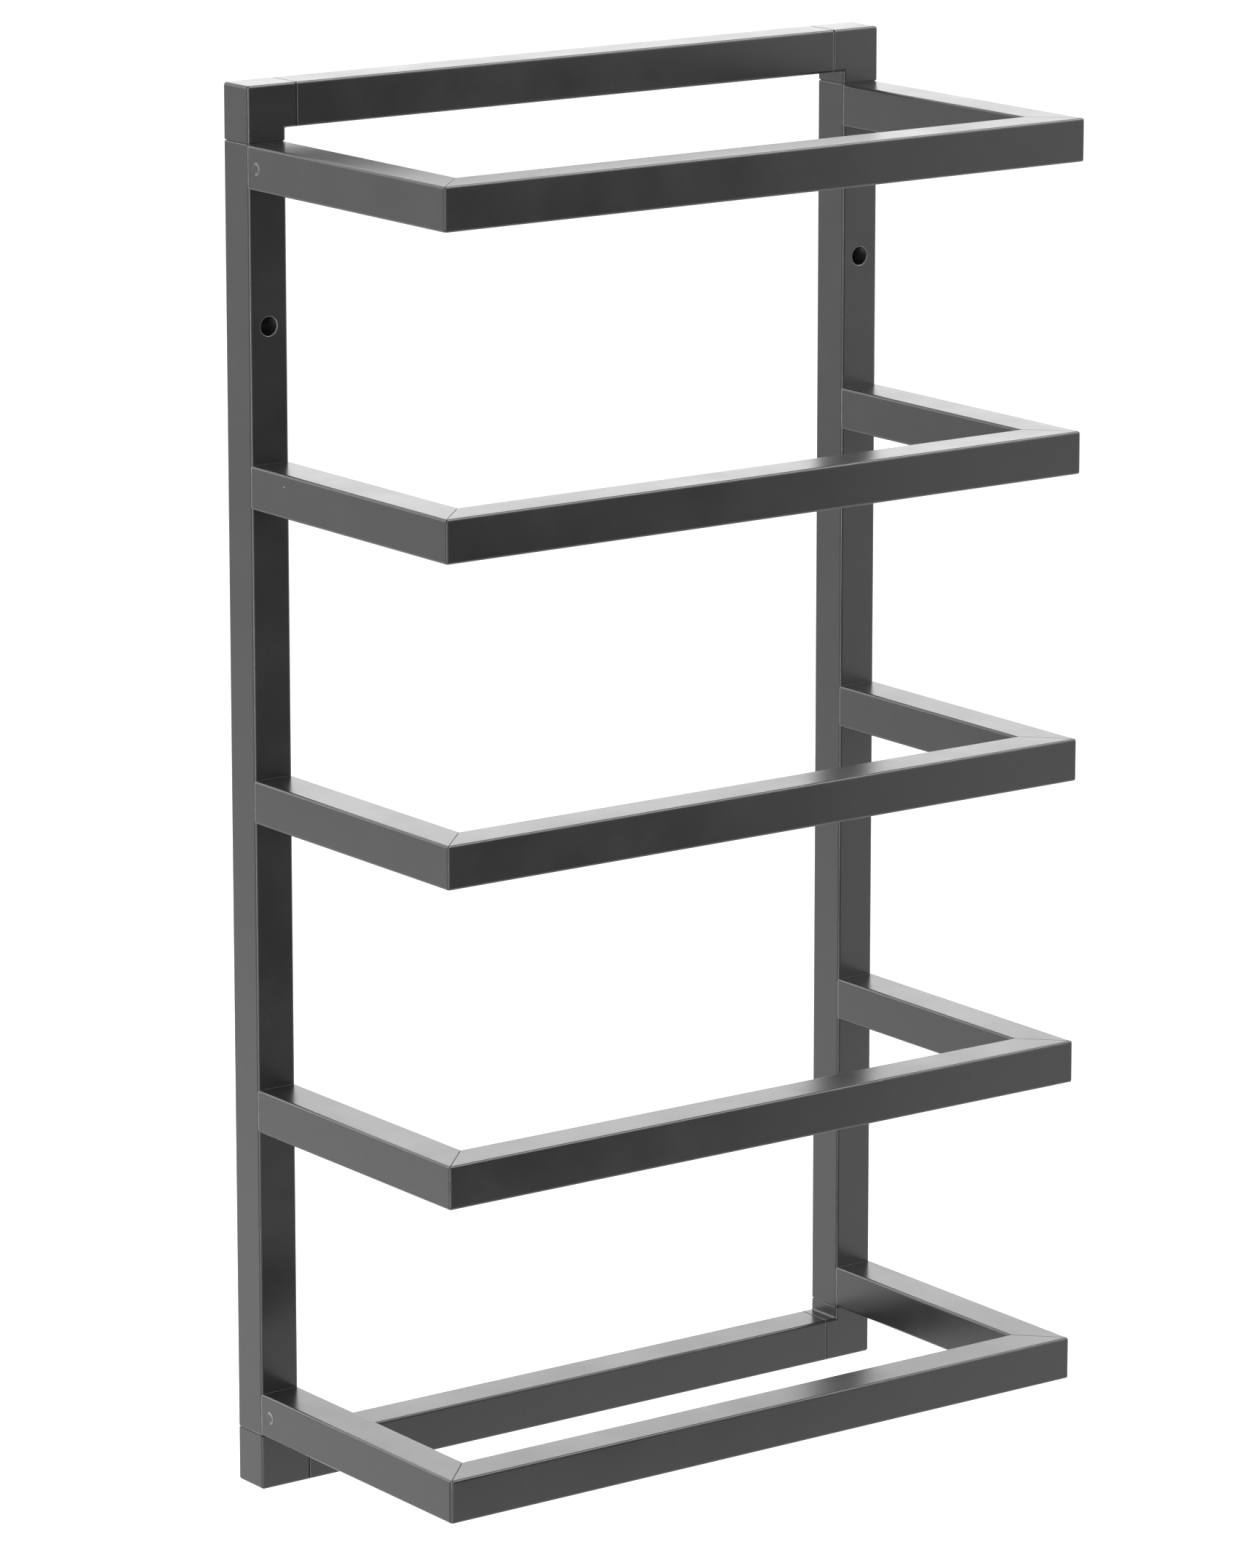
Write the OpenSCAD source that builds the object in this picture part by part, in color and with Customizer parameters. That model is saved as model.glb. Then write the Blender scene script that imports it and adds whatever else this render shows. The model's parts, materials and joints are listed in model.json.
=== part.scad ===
// Wall-hung rack of five tiers for rolled towels, in painted square steel tube.
//
// Two posts and two crossbars make the back frame, joined by four cast corner
// connectors whose plugs push into the tubes.  Five U-shaped tiers stand out of
// it, each of two arms and a front bar with mitred and welded corners.  One
// screw from behind the post draws each arm up against it.
//
// The origin is on the wall, midway between the two wall-screw holes.
// +X is to the right, -Y is out of the wall and +Z is up.

/* [Rack] */
// Width over the outer faces of the posts
rack_w = 440; // [300:5:700]
// Depth from the wall to the face of the front bars
rack_d = 215; // [140:5:320]
// Height from one tier to the next
tier_pitch = 180; // [110:5:260]

/* [Tube] */
// Side of the square tube
tube = 25; // [22:1:32]
// Thickness of the tube's wall
tube_wall = 1.2; // [0.8:0.1:1.8]
// Radius of the tube's long edges
tube_edge_r = 1.6; // [1:0.1:2.2]
// Distance that an arm's end stops short of a knife edge round a post's edge
root_land = 0.4; // [0.2:0.1:0.6]
// Radius that the mitred corners of the tiers are ground to
mitre_r = 1; // [0.5:0.1:1.5]

/* [Corner connectors] */
// Length of each leg that shows, from the outer corner
corner_leg = 32.5; // [28:0.5:45]
// Radius of the outer corner
corner_r = 1.8; // [1:0.1:3]
// Width of the groove where a leg meets its tube
groove_w = 0.4; // [0.2:0.1:0.8]
// Depth of that groove
groove_d = 0.5; // [0.2:0.1:0.7]
// Length of each plug that goes into a tube
plug_l = 28; // [15:1:40]
// Clearance between a plug's walls and the tube, on each side
plug_clear = 0.35; // [0.2:0.05:0.5]
// Clearance between a plug's grip ribs and the tube, on each side
rib_clear = 0.05; // [0.02:0.01:0.1]
// Width of a grip rib
rib_w = 1.5; // [1:0.1:2.5]
// Thickness of the casting's walls, in the plugs and in the corner
cast_wall = 2.4; // [1.5:0.1:3]

/* [Wall screws] */
// Diameter of the screw hole through the back of each post
screw_hole_d = 5.5; // [4:0.5:6.5]
// Diameter of the access hole through the front of each post
access_hole_d = 11; // [9:0.5:14]

/* [Arm screws] */
// Diameter of the screw that holds an arm
arm_screw_d = 6; // [4:1:8]
// Length of the screw under its head
arm_screw_l = 16; // [12:1:25]
// Diameter of the screw's button head
head_d = 10.5; // [10:0.5:12]
// Height of the head
head_h = 3.3; // [2.5:0.1:4]
// Width across the flats of the head's key recess
key_w = 4; // [3:0.5:5]
// Depth of the key recess
key_depth = 2; // [1:0.1:2.2]
// Extra diameter of the post's hole around the screw
screw_clear = 0.6; // [0.3:0.1:1]
// Extra diameter of the hole in the post's back that lets the head through
head_clear = 1.5; // [0.5:0.5:3]

/* [Threaded blocks] */
// Thickness of the block welded inside the root of each arm
block_t = 14; // [10:1:18]
// Set-back of the block from the end of the arm
block_inset = 0.5; // [0.2:0.1:1]
// Clearance between the block and the inside of the arm, on each side
block_clear = 0.05; // [0.02:0.01:0.1]
// Clearance between the screw's thread and the block, on the radius
thread_clear = 0.03; // [0.01:0.01:0.1]
// Diameter of the plug weld that holds the block, in the arm's outer side
plug_weld_d = 7; // [4:0.5:9]
// Depth that the plug weld lies below the arm's side
plug_weld_dip = 0.3; // [0.1:0.1:0.5]

/* [Hidden] */
$fn = 48;
tiers = 5;                                   // tier 1 is the top one
cut = 1;                                     // how far a cutting shape runs past a face
bore = tube - 2 * tube_wall;                 // side of the tube's inside
bore_r = max(tube_edge_r - tube_wall, 0.2);  // radius of its inner corners
top_z = tier_z(1) + tube / 2;                // top end of the posts
bottom_z = tier_z(tiers) - tube / 2;         // bottom end of the posts
post_x = rack_w / 2 - tube / 2;              // from the middle to a post's axis
crossbar_l = rack_w - 2 * corner_leg;        // cut length of a crossbar
frame_top = top_z + corner_leg;              // outer faces of the back frame
frame_bottom = bottom_z - corner_leg;
plug_w = bore - 2 * plug_clear;              // over a plug's walls
rib_h = plug_clear - rib_clear;              // height of a grip rib
plug_lead = 3;                               // length of a plug's tip without ribs
seat_y = -tube + tube_wall;                  // inside face of a post's front wall
head_hole_d = head_d + head_clear;           // hole that a screw head passes through
block_y = -tube - block_inset;               // face of a threaded block
weld_y = block_y - block_t / 2;              // its plug weld, halfway along it
head_dome_r = head_d * 0.66;                 // radius of a screw head's dome
paint = [0.17, 0.17, 0.18];
bare_steel = [0.62, 0.63, 0.65];

// Height of a tier's axis; the wall screws are midway between tiers 1 and 2.
function tier_z(i) = tier_pitch * (1.5 - i);

// A square with round corners, centred, as a section for bars and tubes.
module round_square(side, r) {
    square([side, side - 2 * r], center = true);
    square([side - 2 * r, side], center = true);
    for (x = [-1, 1], y = [-1, 1])
        translate([x * (side / 2 - r), y * (side / 2 - r)])
            circle(r);
}

// Square tube of length l along +Z from z = 0, centred on the axis.
module square_tube(l) {
    difference() {
        linear_extrude(l) round_square(tube, tube_edge_r);
        translate([0, 0, -cut]) linear_extrude(l + 2 * cut) round_square(bore, bore_r);
    }
}

// Post on the side -1 or 1: a wall-screw hole with its access hole, and at each
// tier a hole for the arm's screw with a larger one behind it for the head.
module post(side) {
    color(paint)
        translate([side * post_x, -tube / 2, 0])
            difference() {
                translate([0, 0, bottom_z]) square_tube(top_z - bottom_z);
                rotate([90, 0, 0]) cylinder(h = tube, d = access_hole_d);
                rotate([-90, 0, 0]) cylinder(h = tube, d = screw_hole_d);
                for (i = [1:tiers])
                    translate([0, 0, tier_z(i)]) {
                        rotate([90, 0, 0]) cylinder(h = tube, d = arm_screw_d + screw_clear);
                        rotate([-90, 0, 0]) cylinder(h = tube, d = head_hole_d);
                    }
            }
}

// Crossbar with its axis at height z.
module crossbar(z) {
    color(paint)
        translate([-crossbar_l / 2, -tube / 2, z])
            rotate([0, 90, 0]) square_tube(crossbar_l);
}

// Leg of a corner connector along +Z from the outer corner, cut at 45 degrees
// so that two legs meet, with a groove at its end.
module corner_half() {
    intersection() {
        union() {
            linear_extrude(corner_leg - groove_w) round_square(tube, tube_edge_r);
            linear_extrude(corner_leg) round_square(tube - 2 * groove_d, tube_edge_r - groove_d);
        }
        rotate([90, 0, 0])
            linear_extrude(tube + 2 * cut, center = true)
                polygon([
                    [-tube / 2, 0],
                    [-tube / 2, corner_leg],
                    [tube / 2, corner_leg],
                    [tube / 2, tube]
                ]);
    }
}

// Plug along +Z from z = 0, with two grip ribs on each side that stop short of
// its tip, so that the tip finds its way into the tube.
module plug() {
    linear_extrude(plug_l) square(plug_w, center = true);
    for (turn = [0:90:270], x = [-1, 1])
        rotate([0, 0, turn])
            translate([x * plug_w / 4 - rib_w / 2, 0, 0])
                cube([rib_w, plug_w / 2 + rib_h, plug_l - plug_lead]);
}

// Hollow of one leg and its plug, along +Z from the outer corner and open at
// the plug's tip.
module cast_hollow() {
    translate([0, 0, cast_wall])
        linear_extrude(corner_leg + plug_l)
            square(plug_w - 2 * cast_wall, center = true);
}

// Places its children as a connector's second leg, along +X.
module second_leg() {
    translate([-tube / 2, 0, tube / 2])
        rotate([0, 90, 0])
            mirror([1, 0, 0])
                children();
}

// Corner connector on the side -1 or 1, at the bottom or the top (end -1 or 1).
// The plug in the post has a cross hole, where the end tier's arm screw passes
// through and keeps the plug from pulling out.
module corner(side, end) {
    color(paint)
        translate([side * post_x, -tube / 2, end > 0 ? frame_top : frame_bottom])
            mirror([side > 0 ? 1 : 0, 0, 0])
                mirror([0, 0, end > 0 ? 1 : 0])
                    difference() {
                        union() {
                            intersection() {
                                union() {
                                    corner_half();
                                    second_leg() corner_half();
                                }
                                corner_outline();
                            }
                            translate([0, 0, corner_leg]) plug();
                            second_leg() translate([0, 0, corner_leg]) plug();
                        }
                        cast_hollow();
                        second_leg() cast_hollow();
                        translate([0, 0, corner_leg + tube / 2])
                            rotate([90, 0, 0])
                                cylinder(h = tube, d = head_hole_d, center = true);
                    }
}

// Outline that rounds a connector's outer corner.
module corner_outline() {
    reach = corner_leg + cut;
    rotate([90, 0, 0])
        linear_extrude(tube + 2 * cut, center = true)
            translate([-tube / 2, 0]) {
                translate([corner_r, 0]) square([reach - corner_r, reach]);
                translate([0, corner_r]) square([reach, reach - corner_r]);
                translate([corner_r, corner_r]) circle(corner_r);
            }
}

// Outline of a tier seen from above, which rounds its ground corners.
module tier_outline() {
    linear_extrude(tube + 2 * cut, center = true) {
        translate([-rack_w / 2, -rack_d + mitre_r]) square([rack_w, rack_d]);
        translate([-rack_w / 2 + mitre_r, -rack_d]) square([rack_w - 2 * mitre_r, rack_d]);
        for (side = [-1, 1])
            translate([side * (rack_w / 2 - mitre_r), -rack_d + mitre_r])
                circle(mitre_r);
    }
}

// Arm of tier i on the side -1 or 1, mitred in front.  Its root follows the
// post's rounded edges, and a plug weld shows as a shallow dimple outside.
module arm(i, side) {
    root_y = -tube + tube_edge_r - root_land;
    color(paint)
        translate([0, 0, tier_z(i)])
            difference() {
                intersection() {
                    translate([side * post_x, root_y, 0])
                        rotate([90, 0, 0]) square_tube(rack_d + root_y);
                    mirror([side < 0 ? 1 : 0, 0, 0])
                        linear_extrude(tube + 2 * cut, center = true)
                            polygon([
                                [rack_w / 2, cut],
                                [rack_w / 2, -rack_d],
                                [rack_w / 2 - tube, -rack_d + tube],
                                [rack_w / 2 - tube, cut]
                            ]);
                    tier_outline();
                }
                translate([side * post_x, -tube / 2, 0])
                    linear_extrude(tube + 2 * cut, center = true)
                        round_square(tube, tube_edge_r);
                translate([side * (rack_w / 2 - plug_weld_dip), weld_y, 0])
                    rotate([0, side * 90, 0])
                        cylinder(h = plug_weld_dip + cut, d = plug_weld_d);
            }
}

// Front bar of tier i, mitred at both ends.
module front_bar(i) {
    color(paint)
        translate([0, 0, tier_z(i)])
            intersection() {
                translate([-rack_w / 2, -rack_d + tube / 2, 0])
                    rotate([0, 90, 0]) square_tube(rack_w);
                linear_extrude(tube + 2 * cut, center = true)
                    polygon([
                        [-rack_w / 2, -rack_d],
                        [rack_w / 2, -rack_d],
                        [rack_w / 2 - tube, -rack_d + tube],
                        [-rack_w / 2 + tube, -rack_d + tube]
                    ]);
                tier_outline();
            }
}

// Threaded blocks, one welded inside the root of every arm.
module arm_blocks() {
    block_w = bore - 2 * block_clear;
    color(bare_steel)
        for (i = [1:tiers], side = [-1, 1])
            translate([side * post_x, block_y, tier_z(i)])
                rotate([90, 0, 0])
                    difference() {
                        linear_extrude(block_t) round_square(block_w, bore_r);
                        translate([0, 0, -cut])
                            cylinder(h = block_t + 2 * cut, r = arm_screw_d / 2 + thread_clear);
                    }
}

// Button-head screws, one through each post into every arm's block.
module arm_screws() {
    color(bare_steel)
        for (i = [1:tiers], side = [-1, 1])
            translate([side * post_x, seat_y, tier_z(i)]) {
                rotate([90, 0, 0]) cylinder(h = arm_screw_l, d = arm_screw_d);
                rotate([-90, 0, 0])
                    difference() {
                        intersection() {
                            cylinder(h = head_h, d = head_d);
                            translate([0, 0, head_h - head_dome_r]) sphere(head_dome_r);
                        }
                        translate([0, 0, head_h - key_depth])
                            cylinder(h = key_depth + cut, d = key_w / cos(30), $fn = 6);
                    }
            }
}

post(-1);  // left_post
post(1);  // right_post
crossbar(frame_top - tube / 2);  // top_crossbar
crossbar(frame_bottom + tube / 2);  // bottom_crossbar
corner(-1, 1);  // corner_top_left
corner(1, 1);  // corner_top_right
corner(-1, -1);  // corner_bottom_left
corner(1, -1);  // corner_bottom_right
arm(1, -1);  // left_arm_1
arm(2, -1);  // left_arm_2
arm(3, -1);  // left_arm_3
arm(4, -1);  // left_arm_4
arm(5, -1);  // left_arm_5
front_bar(1);  // front_bar_1
front_bar(2);  // front_bar_2
front_bar(3);  // front_bar_3
front_bar(4);  // front_bar_4
front_bar(5);  // front_bar_5
arm(1, 1);  // right_arm_1
arm(2, 1);  // right_arm_2
arm(3, 1);  // right_arm_3
arm(4, 1);  // right_arm_4
arm(5, 1);  // right_arm_5
arm_blocks();
arm_screws();
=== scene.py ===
import json
import math

import bmesh
import bpy
from mathutils import Matrix, Vector


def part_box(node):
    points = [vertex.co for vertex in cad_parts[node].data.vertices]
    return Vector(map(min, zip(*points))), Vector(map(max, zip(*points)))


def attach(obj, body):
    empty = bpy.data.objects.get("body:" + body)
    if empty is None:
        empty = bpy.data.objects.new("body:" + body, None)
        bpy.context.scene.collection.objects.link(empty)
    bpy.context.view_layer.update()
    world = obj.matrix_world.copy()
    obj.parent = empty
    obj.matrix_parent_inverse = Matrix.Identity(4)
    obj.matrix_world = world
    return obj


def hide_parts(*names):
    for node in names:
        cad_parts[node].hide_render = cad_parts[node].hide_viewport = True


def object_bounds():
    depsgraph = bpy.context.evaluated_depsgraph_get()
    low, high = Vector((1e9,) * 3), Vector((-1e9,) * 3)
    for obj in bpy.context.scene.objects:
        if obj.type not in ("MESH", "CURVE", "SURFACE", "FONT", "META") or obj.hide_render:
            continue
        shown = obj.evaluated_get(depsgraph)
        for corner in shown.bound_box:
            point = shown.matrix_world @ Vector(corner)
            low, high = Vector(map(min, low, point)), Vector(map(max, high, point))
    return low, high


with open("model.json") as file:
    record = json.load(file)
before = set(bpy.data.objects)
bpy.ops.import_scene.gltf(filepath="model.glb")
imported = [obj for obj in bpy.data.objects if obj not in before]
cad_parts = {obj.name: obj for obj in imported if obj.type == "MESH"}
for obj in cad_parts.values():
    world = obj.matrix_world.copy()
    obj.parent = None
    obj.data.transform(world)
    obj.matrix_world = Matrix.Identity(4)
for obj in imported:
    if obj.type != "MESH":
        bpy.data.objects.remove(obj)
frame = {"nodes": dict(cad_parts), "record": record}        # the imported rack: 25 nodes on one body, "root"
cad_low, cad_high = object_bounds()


# --- Posts -------------------------------------------------------------------
# Two uprights of 25 mm square steel tube, drilled for a wall screw between the top
# two tiers and for an arm screw behind each tier.  Then they are sprayed with satin
# black powder and baked, which leaves a fine orange peel.
post_low, post_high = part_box("left_post")
TUBE = post_high.x - post_low.x
WALL = 0.0012
EDGE_R = 0.0016          # long edges, as the tube leaves the rolling mill
ARC_STEPS = 6            # facets in a quarter round
EDGE_WEAR_AND_HIGHLIGHT = 0.30         # paleness along the middle of a long edge, from 0 to 1: a painted highlight, with some wear
CUT_CHAMFER = 0.0003     # the rim of a cut end is just broken
PALE_RIM = 0.0005        # width of the pale band beside a cut end, a painted highlight of its rim
SHARP_ANGLE = math.radians(38)    # edges sharper than this stay crisp
FLAT_WEIGHT = 90         # how much a large flat decides the shading at its border

TIERS = range(1, 6)      # tier 1 is the top one
SCREW_HEAD_R = 0.0060    # hole in the back for the head of an arm's screw
SCREW_SHANK_R = 0.0033   # hole in the front for its shank
ACCESS_R = 0.0055        # hole in the front that lets the wall screw in
BIT_DEPTH = 4 * WALL     # drills one wall of the tube only
HOLE_FACETS = 48
HOLE_ROUND = 0.0004      # powder rounds the rim of every hole
RIM_REACH = 2e-5         # how exactly a rim's points lie on the hole's radius
LARGEST_RIM_FACE = 1e-6  # in square metres; larger ones belong to the tube's flats

POWDER_BLACK = (0.0085, 0.0085, 0.0091)
THIN_EDGE_AND_HIGHLIGHT = (0.30, 0.30, 0.303)   # pale colour of the edges: a painted highlight, and powder drawn thin over them
DUST = (0.42, 0.42, 0.41)
TUBE_GLOSS = 0.26        # roughness of the powder on the tubes
PEEL = 0.0013            # width of one dimple of the orange peel
FINE_PEEL = PEEL * 0.38
CLOUD = 0.045            # width of the faint clouds left by the spray gun
STREAK = CLOUD * 3.2     # length of the slow waves in the tube's flats
CHIP = 0.006             # length of a worn stretch along an edge
SPECK_SPACING = 0.028    # average distance between specks of dust in the powder
SPECK_R = 0.0004
SPECK_MISSES = 0.6       # share of the spots where no speck has landed


def square_section(side, radius):
    """Points round a square tube's section, anticlockwise, as (u, v, paleness)."""
    points = []
    flat = side / 2 - radius
    for corner, (su, sv) in enumerate(((1, 1), (-1, 1), (-1, -1), (1, -1))):
        for step in range(ARC_STEPS + 1):
            turn = (corner + step / ARC_STEPS) * math.pi / 2
            points.append((su * flat + radius * math.cos(turn),
                           sv * flat + radius * math.sin(turn),
                           EDGE_WEAR_AND_HIGHLIGHT if step == ARC_STEPS // 2 else 0.0))
    return points


def skin(name, rings, edges, closed=True):
    """Mesh through a list of point rings of equal length; edges gives each point's paleness: wear and
    painted highlight.
    """
    mesh = bpy.data.meshes.new(name)
    count = len(rings[0])
    faces = []
    pairs = list(zip(range(len(rings)), range(1, len(rings))))
    if closed:
        pairs.append((len(rings) - 1, 0))
    for a, b in pairs:
        for i in range(count):
            j = (i + 1) % count
            faces.append((a * count + i, a * count + j, b * count + j, b * count + i))
    mesh.from_pydata([p for ring in rings for p in ring], [], faces)
    wear_and_highlight = mesh.attributes.new("edge_wear", "FLOAT", "POINT")
    wear_and_highlight.data.foreach_set("value", [e for ring in edges for e in ring])
    work = bmesh.new()
    work.from_mesh(mesh)
    bmesh.ops.remove_doubles(work, verts=work.verts, dist=1e-6)
    bmesh.ops.dissolve_degenerate(work, edges=work.edges, dist=1e-6)
    bmesh.ops.recalc_face_normals(work, faces=work.faces)
    work.to_mesh(mesh)
    work.free()
    piece = bpy.data.objects.new(name, mesh)
    bpy.context.scene.collection.objects.link(piece)
    return piece


def tube_between(name, place, first, last):
    """Hollow square tube.  first and last are lists of end rings from the middle out to
    the end: each is (inset of the section, paleness, function from (u, v) to the point
    along the tube), and place turns (u, v, w) into a point of the rack."""
    outer = square_section(TUBE, EDGE_R)
    inner = square_section(TUBE - 2 * WALL, EDGE_R - WALL)
    rings, edges = [], []

    def ring(section, inset, along, wear_and_highlight):
        shrink = 1 - 2 * inset / TUBE
        points = [along(u * shrink, v * shrink) for u, v, _ in section]
        rings.append([place(*p) for p in points])
        edges.append([max(e, wear_and_highlight) for _, _, e in section])

    for inset, pale, along in reversed(first):
        ring(outer, inset, along, pale)
    for inset, pale, along in last:
        ring(outer, inset, along, pale)
    ring(inner, 0, last[-1][2], 0.5)
    ring(inner, 0, first[-1][2], 0.5)
    return skin(name, rings, edges)


def cut_end(w, outward):
    """End rings of a square-cut tube, its rim just broken, at w along the tube."""
    chamfer = CUT_CHAMFER
    # the pale rings beside the rim are a painted highlight along the cut end
    return [(0, 0.0, lambda u, v: (u, v, w - outward * (chamfer + PALE_RIM))),
            (0, 0.6, lambda u, v: (u, v, w - outward * chamfer)),
            (chamfer * 0.3, 0.3, lambda u, v: (u, v, w - outward * chamfer * 0.3)),
            (chamfer, 0.0, lambda u, v: (u, v, w))]


def finish_shading(piece):
    """Smooth shading that keeps flat faces flat and breaks at sharp edges."""
    mesh = piece.data
    mesh.polygons.foreach_set("use_smooth", [True] * len(mesh.polygons))
    mesh.set_sharp_from_angle(angle=SHARP_ANGLE)
    keep_flat = piece.modifiers.new("keep flats flat", "WEIGHTED_NORMAL")
    keep_flat.keep_sharp = True
    keep_flat.weight = FLAT_WEIGHT


def carve(piece, tool, centre, axis):
    """Cuts the shape of a tool's mesh out of a piece; the tool's own z lies on the axis."""
    cutter = bpy.data.objects.new("tool", tool)
    bpy.context.scene.collection.objects.link(cutter)
    turn = Vector(axis).to_track_quat("Z", "Y").to_matrix().to_4x4()
    cutter.matrix_world = Matrix.Translation(centre) @ turn
    cut = piece.modifiers.new("cut", "BOOLEAN")
    cut.solver = "EXACT"
    cut.object = cutter
    bpy.context.view_layer.update()
    carved = bpy.data.meshes.new_from_object(
        piece.evaluated_get(bpy.context.evaluated_depsgraph_get()))
    piece.modifiers.clear()
    piece.data = carved
    bpy.data.objects.remove(cutter)


def drill(piece, holes):
    """Bores (centre, radius) into a tube's back or front wall and rounds each rim."""
    along_y = (0, 1, 0)
    for centre, radius in holes:
        bit = bpy.data.meshes.new("bit")
        work = bmesh.new()
        bmesh.ops.create_cone(work, cap_ends=True, segments=HOLE_FACETS, radius1=radius,
                              radius2=radius, depth=BIT_DEPTH)
        work.to_mesh(bit)
        work.free()
        carve(piece, bit, centre, along_y)
        round_rim(piece, centre, along_y, radius)


def round_rim(piece, centre, axis, radius):
    """Rounds the rim edges of one hole and paints the rounding pale, a painted highlight."""
    work = bmesh.new()
    work.from_mesh(piece.data)
    centre, axis = Vector(centre), Vector(axis).normalized()

    def off_axis(vert):
        reach = vert.co - centre
        return (reach - axis * reach.dot(axis)).length

    rim = [e for e in work.edges
           if len(e.link_faces) == 2 and e.calc_face_angle(0) > math.radians(60)
           and all(abs(off_axis(v) - radius) < RIM_REACH for v in e.verts)]
    wear_and_highlight = work.verts.layers.float["edge_wear"]
    rounded = bmesh.ops.bevel(work, geom=rim, offset=HOLE_ROUND, segments=3, profile=0.5,
                              affect="EDGES", clamp_overlap=True)
    for vert in rounded["verts"]:
        # the rounding inside the hole is painted pale: a painted highlight on its wall
        on_flat = any(face.calc_area() > LARGEST_RIM_FACE for face in vert.link_faces)
        vert[wear_and_highlight] = 0.0 if on_flat else 1.0
    work.to_mesh(piece.data)
    work.free()


class Wire:
    """A node socket that adds Math nodes when it is used in an expression."""

    def __init__(self, finish, socket):
        self.finish = finish
        self.socket = socket

    def _math(self, operation, first, second):
        return self.finish.node("ShaderNodeMath", {"operation": operation},
                                {0: first, 1: second})

    def __add__(self, other):
        return self._math("ADD", self, other)

    def __radd__(self, other):
        return self._math("ADD", other, self)

    def __sub__(self, other):
        return self._math("SUBTRACT", self, other)

    def __rsub__(self, other):
        return self._math("SUBTRACT", other, self)

    def __mul__(self, other):
        return self._math("MULTIPLY", self, other)

    def __rmul__(self, other):
        return self._math("MULTIPLY", other, self)

    def __gt__(self, other):
        return self._math("GREATER_THAN", self, other)

    def __lt__(self, other):
        return self._math("LESS_THAN", self, other)


class Finish:
    """A paint, metal or light.  holder is what has the nodes, a new material unless one is
    given; place is the output of Texture Coordinate that its patterns lie on."""

    def __init__(self, name, holder=None, shader="Principled BSDF", place="Object"):
        self.material = holder or bpy.data.materials.new(name)
        self.material.use_nodes = True
        self.tree = self.material.node_tree
        self.shader = self.tree.nodes[shader]
        self.place = self.node("ShaderNodeTexCoord", {}, {}, out=place)

    def node(self, kind, settings, inputs, out=0):
        made = self.tree.nodes.new(kind)
        for key, value in settings.items():
            if key == "stops":
                ramp = made.color_ramp.elements
                while len(ramp) < len(value):
                    ramp.new(0.5)
                for stop, (where, colour) in zip(ramp, value):
                    stop.position = where
                    stop.color = (*colour, 1)
            else:
                setattr(made, key, value)
        self.plug(made, inputs)
        return Wire(self, made.outputs[out])

    def plug(self, made, inputs):
        for key, value in inputs.items():
            if isinstance(value, Wire):
                self.tree.links.new(value.socket, made.inputs[key])
            else:
                made.inputs[key].default_value = value

    def noise(self, width, detail=2.0, roughness=0.5, where=None):
        return self.node("ShaderNodeTexNoise", {}, {
            "Vector": where or self.place, "Scale": 1 / width,
            "Detail": detail, "Roughness": roughness})

    def mix(self, amount, first, second):
        return self.node("ShaderNodeMix", {"data_type": "RGBA"},
                         {0: amount, 6: first, 7: second}, out=2)


def powder_coat(name, colour, gloss, seed):
    """Baked satin powder: orange peel, faint clouds, dust specks, thin glossy edges painted pale, a painted
    highlight with some wear.
    """
    coat = Finish(name)
    where = coat.node("ShaderNodeVectorMath", {"operation": "ADD"},
                      {0: coat.place, 1: (seed, seed * 0.7, seed * 0.3)})
    peel = coat.noise(PEEL, 2.5, 0.55, where)
    grain = coat.noise(FINE_PEEL, 1.0, 0.5, where)
    cloud = coat.noise(CLOUD, 3.0, 0.6, where)
    streak = coat.noise(STREAK, 2.0, 0.5, where)
    wear_and_highlight = coat.node("ShaderNodeAttribute", {"attribute_name": "edge_wear"}, {}, out="Fac")
    chip = coat.node("ShaderNodeValToRGB",
                     {"stops": [(0.5, (0, 0, 0)), (0.72, (1, 1, 1))]},
                     {0: coat.noise(CHIP, 4.0, 0.65, where)})
    dust_cell = coat.node("ShaderNodeTexVoronoi", {"feature": "F1"},
                          {"Vector": where, "Scale": 1 / SPECK_SPACING}, out="Distance")
    dust_luck = coat.node("ShaderNodeTexVoronoi", {"feature": "F1"},
                          {"Vector": where, "Scale": 1 / SPECK_SPACING}, out="Color")
    speck = (dust_cell < SPECK_R / SPECK_SPACING) * (dust_luck > SPECK_MISSES)
    edge = wear_and_highlight * (0.45 + 0.55 * chip)
    light = tuple(c * 1.6 + 0.002 for c in colour)
    dark = tuple(c * 0.72 for c in colour)
    body = coat.mix(cloud * 0.55 + grain * 0.45, (*dark, 1), (*light, 1))
    # edges mixed toward a pale colour: a painted highlight, with some wear
    worn_and_highlit = coat.mix(edge * 0.6, body, (*THIN_EDGE_AND_HIGHLIGHT, 1))
    coat.plug(coat.shader, {
        "Base Color": coat.mix(speck * 0.7, worn_and_highlit, (*DUST, 1)),
        "Roughness": gloss + 0.10 * (streak - 0.5) + 0.16 * (cloud - 0.5) - 0.04 * edge,
        "Normal": coat.node(
            "ShaderNodeBump", {}, {
                "Strength": 0.3, "Distance": 0.00004,
                "Height": peel + 0.2 * grain + 0.8 * speck,
                "Normal": coat.node("ShaderNodeBump", {}, {
                    "Strength": 0.22, "Distance": 0.0012, "Height": streak})})})
    return coat.material


tube_powder = powder_coat("satin black powder on tube", POWDER_BLACK, TUBE_GLOSS, 0.0)


def hang(piece, node, material):
    """Puts a finished piece in the place of its node."""
    piece.data.materials.clear()
    piece.data.materials.append(material)
    finish_shading(piece)
    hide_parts(node)
    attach(piece, "root")


def tier_height(tier):
    low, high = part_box(f"front_bar_{tier}")
    return (low.z + high.z) / 2


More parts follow.
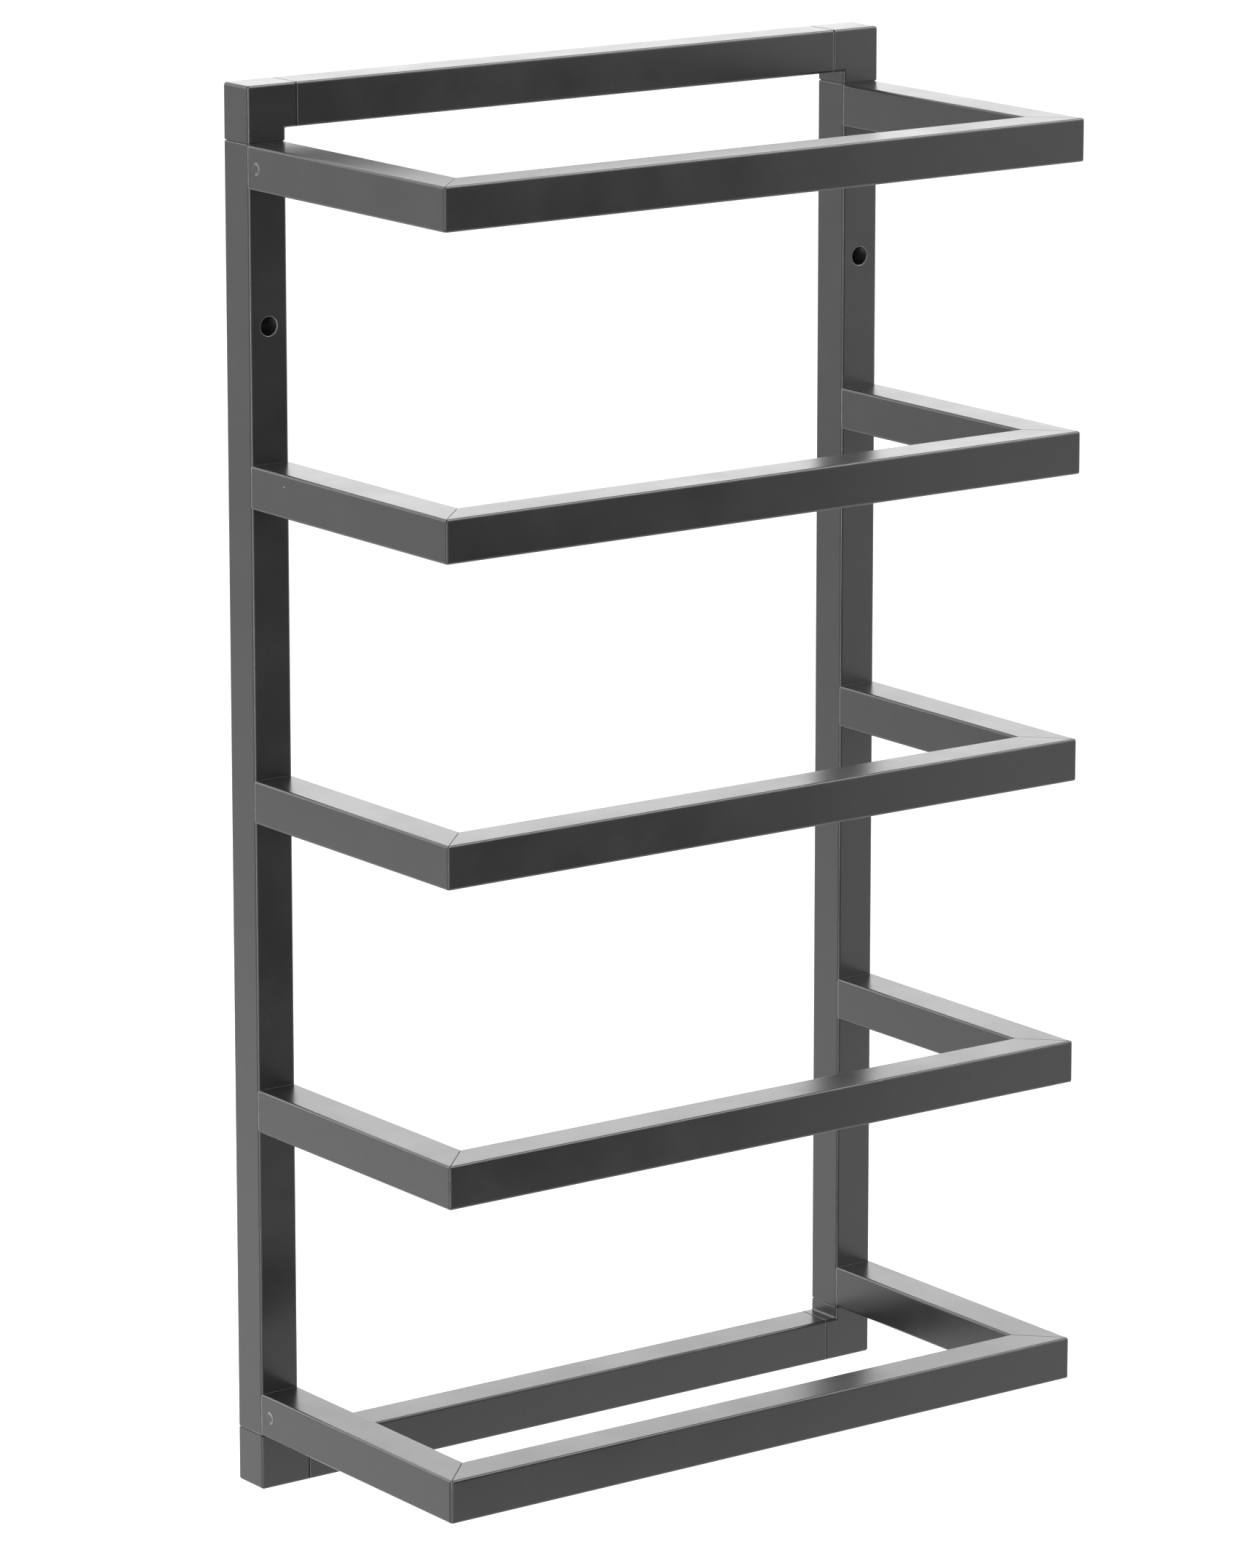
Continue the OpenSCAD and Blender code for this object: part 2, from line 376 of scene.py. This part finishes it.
def make_post(side):
    low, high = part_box(f"{side}_post")
    middle = (low + high) / 2
    post = tube_between(
        f"{side}_upright",
        lambda u, v, w: (middle.x + u, middle.y + v, w),
        cut_end(low.z, -1), cut_end(high.z, 1))
    back, front = Vector((middle.x, high.y, 0)), Vector((middle.x, low.y, 0))
    wall_screw_r = frame["record"]["mounts"][0]["dims"]["hole_r_mm"] / 1000
    holes = [(back, wall_screw_r), (front, ACCESS_R)]
    for tier in TIERS:
        rise = Vector((0, 0, tier_height(tier)))
        holes.append((back + rise, SCREW_HEAD_R))
        holes.append((front + rise, SCREW_SHANK_R))
    drill(post, holes)
    hang(post, f"{side}_post", tube_powder)


make_post("left")
make_post("right")


# --- Crossbars ---------------------------------------------------------------
# Two lengths of the same tube, square cut.  They push onto the connectors' plugs
# at the top and the bottom, and only their broken ends show at the joint.
def make_crossbar(end):
    low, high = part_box(f"{end}_crossbar")
    middle = (low + high) / 2
    bar = tube_between(
        f"{end}_rail",
        lambda u, v, w: (w, middle.y + u, middle.z + v),
        cut_end(low.x, -1), cut_end(high.x, 1))
    hang(bar, f"{end}_crossbar", tube_powder)


make_crossbar("top")
make_crossbar("bottom")


# --- Corner connectors --------------------------------------------------------
# Die-cast corners as deep and as wide as the tube, so that they look like part of
# it.  Each leg ends in a narrow neck, which shows as a fine dark line where the
# tube butts up to it, and in a plug that the tube pushes onto.
CORNER_LEG = 0.0325
CORNER_R = 0.0018        # round of the outer corner
FILLET = 0.0011          # round of the inner corner
NECK_LENGTH = 0.0006
NECK_DEPTH = 0.0007
LEG_CHAMFER = 0.0002     # the rim of a leg beside its neck
CAST_GLOSS = 0.24

cast_powder = powder_coat("satin black powder on castings", POWDER_BLACK, CAST_GLOSS, 3.7)


def corner_path():
    """Steps along a connector from one leg's end to the other: (inset, how the section's
    depth a below the outer faces gives a point (x, z) measured from the outer corner)."""
    leg = CORNER_LEG - NECK_LENGTH
    steps = [(NECK_DEPTH, lambda a: (a, CORNER_LEG)),
             (NECK_DEPTH, lambda a: (a, leg)),
             (LEG_CHAMFER, lambda a: (a, leg)),
             (0, lambda a: (a, leg - LEG_CHAMFER))]
    leg_steps = len(steps)

    def bend(a, turn):
        if a <= CORNER_R:
            reach = CORNER_R - a
            return CORNER_R - reach * math.cos(turn), CORNER_R - reach * math.sin(turn)
        depth = max(0.0, a - (TUBE - EDGE_R)) / EDGE_R
        swing = FILLET * depth
        return a + swing - swing * math.cos(turn), a + swing - swing * math.sin(turn)

    for step in range(2 * ARC_STEPS + 1):
        turn = math.pi / 2 * step / (2 * ARC_STEPS)
        steps.append((0, lambda a, turn=turn: bend(a, turn)))
    for inset, leg_point in reversed(steps[:leg_steps]):
        steps.append((inset, lambda a, leg_point=leg_point: leg_point(a)[::-1]))
    return steps


def make_corner(end, side):
    low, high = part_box(f"corner_{end}_{side}")
    x_out = low.x if side == "left" else high.x
    z_out = high.z if end == "top" else low.z
    x_in = 1 if side == "left" else -1
    z_in = -1 if end == "top" else 1
    y_mid = (low.y + high.y) / 2
    section = square_section(TUBE, EDGE_R)
    rings, edges = [], []
    for inset, point in corner_path():
        shrink = 1 - 2 * inset / TUBE
        ring = []
        for u, v, _ in section:
            x, z = point(TUBE / 2 + u * shrink)
            ring.append((x_out + x_in * x, y_mid + v * shrink, z_out + z_in * z))
        rings.append(ring)
        edges.append([0.0 if inset else e for _, _, e in section])
    body = skin(f"connector_{end}_{side}", rings, edges, closed=False)
    work = bmesh.new()
    work.from_mesh(body.data)
    bmesh.ops.holes_fill(work, edges=[e for e in work.edges if e.is_boundary])
    bmesh.ops.recalc_face_normals(work, faces=work.faces)
    work.to_mesh(body.data)
    work.free()
    hang(body, f"corner_{end}_{side}", cast_powder)


for corner_end in ("top", "bottom"):
    for corner_side in ("left", "right"):
        make_corner(corner_end, corner_side)


# --- Tiers --------------------------------------------------------------------
# Five U-shaped rests of the same tube, mitred, welded at the front corners and ground
# flush, so that a hairline stays.  Each arm's root is shaped to the post's edges, and
# a plug weld in its outer side holds the threaded block inside.
MITRE_R = 0.0010         # ground round of the front corners
SOFT_MITRE_R = 0.0022    # the lowest left one is ground more than the rest
MITRE_STEPS = 4          # facets from a mitre's joint to the tube's flat
HAIRLINE = 0.0004        # how far the mitre's edges are broken
ROOT_WRAP = 0.0009       # how far an arm's root reaches round the post's edges
ROOT_RIM = 0.0003        # how far its rim is rounded
ROOT_PALE = 0.0011       # width of the pale band beside it: a painted highlight where the rim catches the light, with thin powder there too
WELD_R = 0.0031
WELD_FACETS = 40
WELD_SET_BACK = 0.0075   # middle of the plug weld, from the post
WELD_DEPTHS = {1: 0.00002, 5: 0.00019}   # by tier; the others are ground quite away


def mitre_rings(end_w, outward, outer_u, ground_r):
    """Rings of a mitred end.  outer_u is +1 or -1: the side of the section that lies on
    the outside of the corner, where the tube is longest."""
    def at(turn):
        def along(u, v):
            a = TUBE / 2 - outer_u * u
            inset = max(a, ground_r * (1 - math.cos(turn)))
            run = min(end_w * outward - inset,
                      end_w * outward - ground_r + ground_r * math.sin(turn))
            return outer_u * (TUBE / 2 - inset), v, outward * run
        return along

    def held_back(along):
        def short(u, v):
            u, v, w = along(u, v)
            return u, v, w - outward * HAIRLINE
        return short

    joint = math.pi / 4
    rings = [(0, 0.0, held_back(at(joint * step / MITRE_STEPS)))
             for step in range(MITRE_STEPS + 1)]
    # the mitre's hairline is painted pale: a painted highlight along the joint
    rings.append((HAIRLINE, 0.8, at(joint)))
    return rings


def root_ring(post_face_w, outward):
    """Rings of an arm's root, shaped to the post's round edges."""
    def along(u, v, back=0.0):
        over = max(0.0, abs(u) - (TUBE / 2 - EDGE_R))
        dip = EDGE_R - math.sqrt(max(0.0, EDGE_R ** 2 - min(over, EDGE_R) ** 2))
        return u, v, post_face_w + outward * (min(dip, ROOT_WRAP) - back)
    # the pale rings beside the root's rim are a painted highlight
    return [(0, 0.0, lambda u, v: along(u, v, ROOT_RIM + ROOT_PALE)),
            (0, 0.2, lambda u, v: along(u, v, ROOT_RIM + 0.7 * ROOT_PALE)),
            (0, 1.0, lambda u, v: along(u, v, ROOT_RIM)),
            (0.3 * ROOT_RIM, 1.0, lambda u, v: along(u, v, 0.3 * ROOT_RIM)),
            (ROOT_RIM, 1.0, along)]


def plug_weld(arm, centre, outward, depth):
    """Presses the soft ring that is left round a ground plug weld into the arm's side."""
    ring = bpy.data.meshes.new("ring")
    profile = [(WELD_R - 0.0014, 0.0004), (WELD_R - 0.0014, depth * 0.3),
               (WELD_R - 0.0006, -depth / 2), (WELD_R, -depth),
               (WELD_R + 0.0004, -depth * 0.6), (WELD_R + 0.0011, depth * 0.3),
               (WELD_R + 0.0011, 0.0004)]
    count, turns = len(profile), WELD_FACETS
    points = [(r * math.cos(2 * math.pi * t / turns), r * math.sin(2 * math.pi * t / turns), h)
              for t in range(turns) for r, h in profile]
    faces = [(t * count + i, t * count + (i + 1) % count,
              (t + 1) % turns * count + (i + 1) % count, (t + 1) % turns * count + i)
             for t in range(turns) for i in range(count)]
    ring.from_pydata(points, [], faces)
    work = bmesh.new()
    work.from_mesh(ring)
    bmesh.ops.recalc_face_normals(work, faces=work.faces)
    work.to_mesh(ring)
    work.free()
    carve(arm, ring, centre, (outward, 0, 0))


def corner_round(side, tier):
    """Ground round of a front corner."""
    return SOFT_MITRE_R if (side, tier) == ("left", 5) else MITRE_R


def make_arm(side, tier):
    node = f"{side}_arm_{tier}"
    low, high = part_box(node)
    outward = -1 if side == "left" else 1
    middle_x, middle_z = (low.x + high.x) / 2, (low.z + high.z) / 2
    front_y, post_y = cad_low.y, post_low.y
    arm = tube_between(
        f"{side}_side_of_tier_{tier}",
        lambda u, v, w: (middle_x + u, w, middle_z + v),
        root_ring(post_y, 1), mitre_rings(front_y, -1, outward, corner_round(side, tier)))
    face_x = cad_low.x if side == "left" else cad_high.x
    if tier in WELD_DEPTHS:
        plug_weld(arm, Vector((face_x, post_y - WELD_SET_BACK, middle_z)), outward,
                  WELD_DEPTHS[tier])
    hang(arm, node, tube_powder)


def make_front_bar(tier):
    node = f"front_bar_{tier}"
    low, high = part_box(node)
    middle_y, middle_z = (low.y + high.y) / 2, (low.z + high.z) / 2
    bar = tube_between(
        f"front_of_tier_{tier}",
        lambda u, v, w: (w, middle_y + u, middle_z + v),
        mitre_rings(cad_low.x, -1, -1, corner_round("left", tier)),
        mitre_rings(cad_high.x, 1, -1, corner_round("right", tier)))
    hang(bar, node, tube_powder)


for tier in TIERS:
    make_arm("left", tier)
    make_front_bar(tier)
    make_arm("right", tier)


# --- Threaded blocks and arm screws -------------------------------------------
# Milled steel blocks inside the arms' roots, and zinc-plated button-head screws
# that pull the arms up to the posts.  The heads show only from behind.
BRUSH = 0.0009           # width of the marks that the cutter and the tumbler leave


def metal(name, colour, roughness):
    """Bare or plated steel with fine tool marks."""
    bare = Finish(name)
    brushed = bare.noise(BRUSH, 3.0, 0.6)
    bare.plug(bare.shader, {
        "Base Color": bare.mix(brushed, (*colour, 1), (*(c * 0.7 for c in colour), 1)),
        "Metallic": 1.0,
        "Roughness": roughness + 0.15 * (brushed - 0.5),
        "Normal": bare.node("ShaderNodeBump", {}, {
            "Strength": 0.2, "Distance": 0.0001, "Height": brushed})})
    return bare.material


milled_steel = metal("milled steel", (0.42, 0.42, 0.43), 0.42)
zinc_plate = metal("zinc plate", (0.63, 0.64, 0.66), 0.3)
for cad_node, finish in (("arm_blocks", milled_steel), ("arm_screws", zinc_plate)):
    for slot in frame["nodes"][cad_node].material_slots:
        slot.material = finish


# --- Room ----------------------------------------------------------------------
# A plain pale floor well below the rack, a pale sky that is brightest a little above
# the horizon, a black card, and soft boxes.
FLOOR_DROP = 0.45
FLOOR_SIZE = 60
FLOOR_MOTTLE = 0.6       # width of the faint patches in its paint
FLOOR_GRAIN = 0.02

floor_mesh = bpy.data.meshes.new("floor")
half = FLOOR_SIZE / 2
floor_z = cad_low.z - FLOOR_DROP
floor_mesh.from_pydata([(-half, -half, floor_z), (half, -half, floor_z),
                        (half, half, floor_z), (-half, half, floor_z)], [], [(0, 1, 2, 3)])
floor = bpy.data.objects.new("floor", floor_mesh)
bpy.context.scene.collection.objects.link(floor)
pale = Finish("pale floor")
pale.plug(pale.shader, {
    "Base Color": pale.mix(pale.noise(FLOOR_MOTTLE), (0.69, 0.69, 0.69, 1),
                           (0.72, 0.72, 0.72, 1)),
    "Roughness": 0.8 + 0.1 * pale.noise(FLOOR_GRAIN)})
floor_mesh.materials.append(pale.material)

world = bpy.data.worlds.new("studio")
bpy.context.scene.world = world
SKY_STRENGTH = 3.0
SKY_BANDS = [(0.0, 0.62), (0.14, 0.70), (0.32, 0.92),      # (rise, light)
             (0.5, 0.60), (0.7, 0.46), (1.0, 0.46)]
sky = Finish("sky", world, "Background", "Generated")
rise = sky.node("ShaderNodeSeparateXYZ", {}, {0: sky.place}, out="Z")
sky.plug(sky.shader, {
    "Strength": SKY_STRENGTH,
    "Color": sky.node("ShaderNodeValToRGB",
                      {"stops": [(at, (light,) * 3) for at, light in SKY_BANDS]}, {0: rise})})

# A black card stands on the floor to the right of the viewer, where the front faces
# mirror it; its edge is near enough for their right ends to catch the light past it.
CARD_FACING = Vector((0.588, -0.809, 0))      # from the rack to the card
CARD_ALONG = Vector((0.809, 0.588, 0))        # to the right, as seen from the rack
CARD_DISTANCE = 1.5
CARD_LEFT, CARD_RIGHT, CARD_TOP = -0.9, 0.06, 0.7

card_middle = Vector((0, cad_low.y, 0)) + CARD_FACING * CARD_DISTANCE
card_corners = [card_middle + CARD_ALONG * along + Vector((0, 0, rise))
                for along, rise in ((CARD_LEFT, floor_z), (CARD_RIGHT, floor_z),
                                    (CARD_RIGHT, CARD_TOP), (CARD_LEFT, CARD_TOP))]
card_mesh = bpy.data.meshes.new("card")
card_mesh.from_pydata(card_corners, [], [(0, 1, 2, 3)])
card = bpy.data.objects.new("card", card_mesh)
bpy.context.scene.collection.objects.link(card)
card.visible_camera = False
card.visible_diffuse = False     # it tones reflections only, and throws no shadow
card.visible_shadow = False
black = Finish("black card")
black.plug(black.shader, {"Base Color": (0.02, 0.02, 0.02, 1), "Roughness": 0.9})
card_mesh.materials.append(black.material)


def soft_box(name, place, aim, size, watts):
    """A studio light behind a rectangular diffuser, turned to a point."""
    light = bpy.data.lights.new(name, "AREA")
    light.shape = "RECTANGLE"
    light.size, light.size_y = size
    light.energy = watts
    lamp = bpy.data.objects.new(name, light)
    bpy.context.scene.collection.objects.link(lamp)
    lamp.location = place
    lamp.rotation_euler = (Vector(aim) - Vector(place)).to_track_quat("-Z", "Y").to_euler()


soft_box("overhead", (1.6, -0.7, 2.3), (0, -0.1, -0.3), (1.6, 1.6), 45)
soft_box("right_fill", (2.2, -1.2, 0.2), (0.1, -0.1, -0.25), (1.0, 1.6), 6)
soft_box("floor_pool", (-0.2, 1.6, 0.5), (-0.4, 1.1, floor_z), (1.2, 0.8), 9)
soft_box("left_floor_pool", (-1.6, 1.7, 0.2), (-1.55, 1.65, floor_z), (1.0, 1.0), 11)
soft_box("left_strip", (-1.98, -1.63, -0.42), (0, -0.2, -0.42), (0.45, 1.4), 22)


# --- Camera ---------------------------------------------------------------------
# A long lens, from the left of the rack and a little above it.  Its front is lowered
# a little, so that the uprights stay nearly parallel.
centre = (cad_low + cad_high) / 2
VIEW_SIDE, VIEW_RISE, VIEW_DISTANCE = math.radians(-36.36), math.radians(13.33), 4.108
PAN, TILT = math.radians(36.11), math.radians(11.89)
LENS = 165.4             # in millimetres
LENS_SHIFT = -0.12       # share of the frame's longer side
camera_data = bpy.data.cameras.new("camera")
camera = bpy.data.objects.new("camera", camera_data)
bpy.context.scene.collection.objects.link(camera)
camera.location = centre + VIEW_DISTANCE * Vector((
    math.sin(VIEW_SIDE) * math.cos(VIEW_RISE),
    -math.cos(VIEW_SIDE) * math.cos(VIEW_RISE),
    math.sin(VIEW_RISE)))
camera.rotation_euler = (math.pi / 2 - TILT, 0, -PAN)
camera_data.lens = LENS
camera_data.shift_y = LENS_SHIFT
bpy.context.scene.camera = camera
bpy.context.scene.view_settings.view_transform = "Standard"
